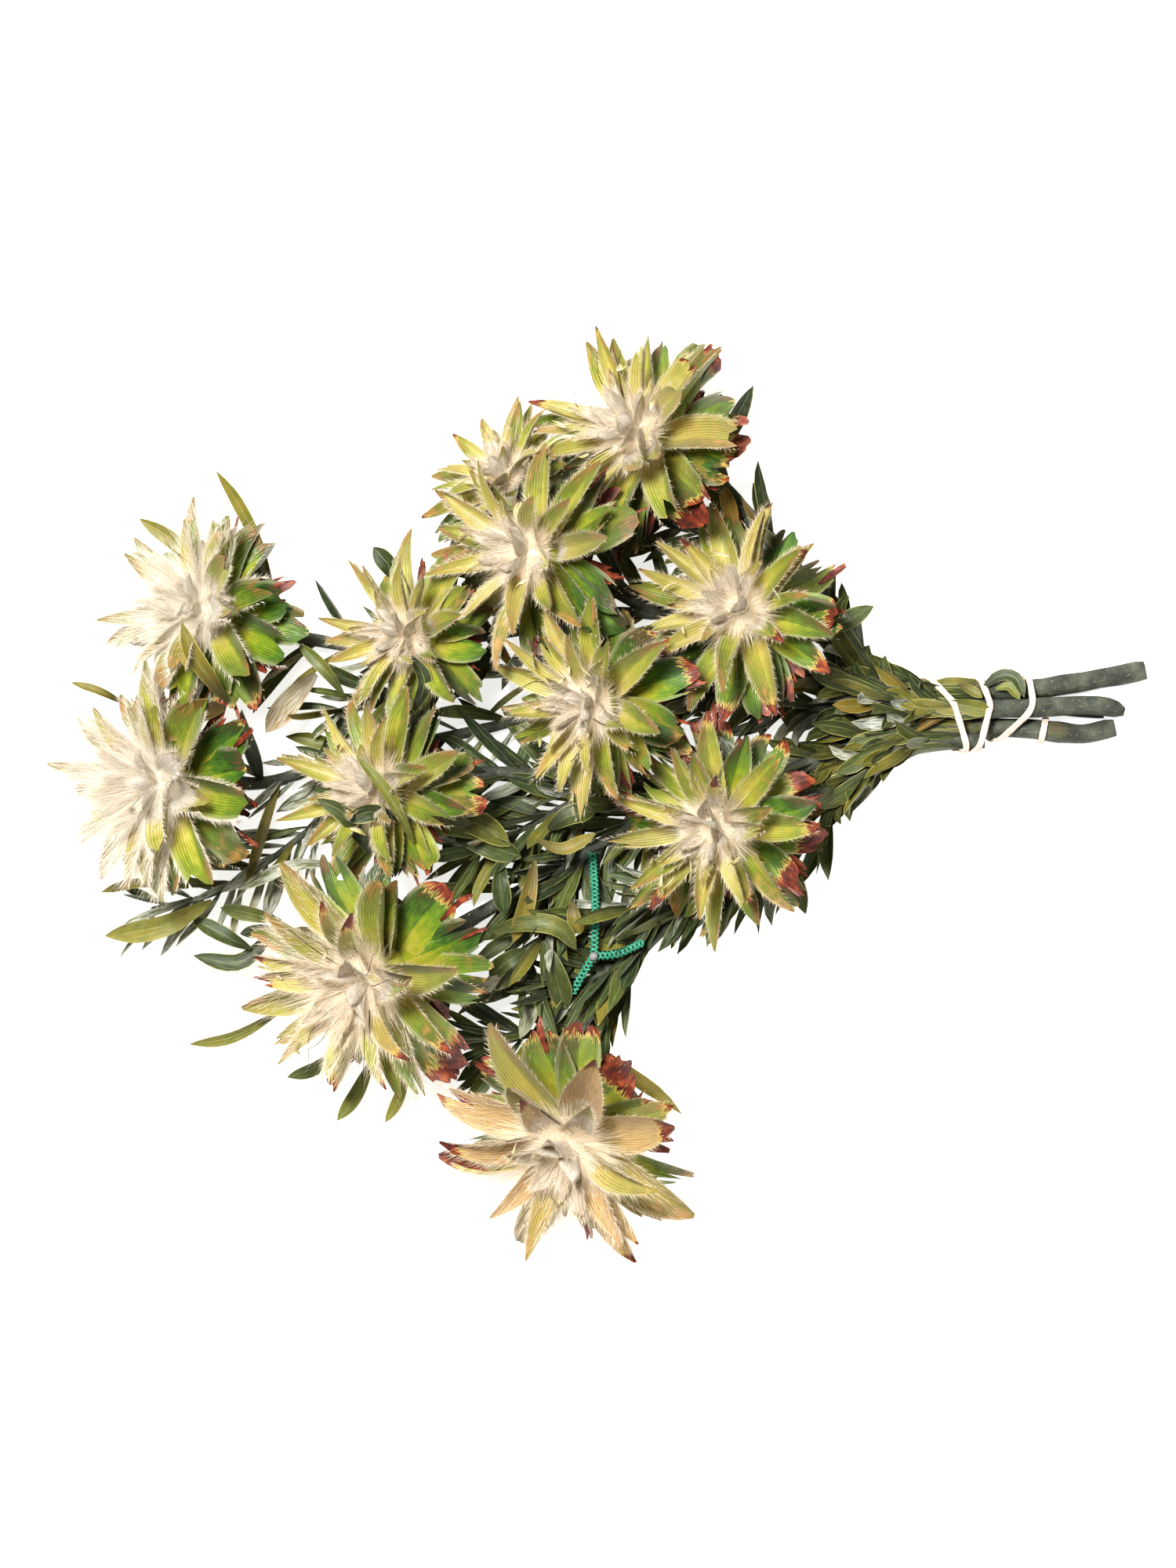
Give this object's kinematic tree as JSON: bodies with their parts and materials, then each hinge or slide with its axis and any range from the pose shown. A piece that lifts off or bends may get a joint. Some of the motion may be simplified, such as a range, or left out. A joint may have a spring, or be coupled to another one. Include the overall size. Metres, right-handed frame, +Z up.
{
  "type": "dried protea bunch",
  "caption": "Tied bunch of dried protea flower heads on forked leafy stems, lying on its side, held by rubber bands near the cut ends, with a scrap of green netting caught in the leaves.",
  "frame": {"origin": "centre of the bunch's box in plan, at the height of the table it lies on", "axes": "+X along the bunch towards the cut stem ends, +Z up from the table"},
  "size_m": [0.5032, 0.4272, 0.1137],
  "materials": {
    "bract": "matte",
    "leafy_wood": "matte",
    "rubber_band": "matte",
    "netting": "matte"
  },
  "bodies": {
    "root": {"head_01": "bract", "head_02": "bract", "head_03": "bract", "head_04": "bract", "head_05": "bract", "head_06": "bract", "head_07": "bract", "head_08": "bract", "head_09": "bract", "head_10": "bract", "head_11": "bract", "head_12": "bract", "branch_a": "leafy_wood", "branch_b": "leafy_wood", "branch_c": "leafy_wood", "branch_d": "leafy_wood", "branch_e": "leafy_wood", "band_1": "rubber_band", "band_2": "rubber_band", "band_3": "rubber_band", "band_4": "rubber_band", "net_scrap": "netting"}
  },
  "joints": []
}
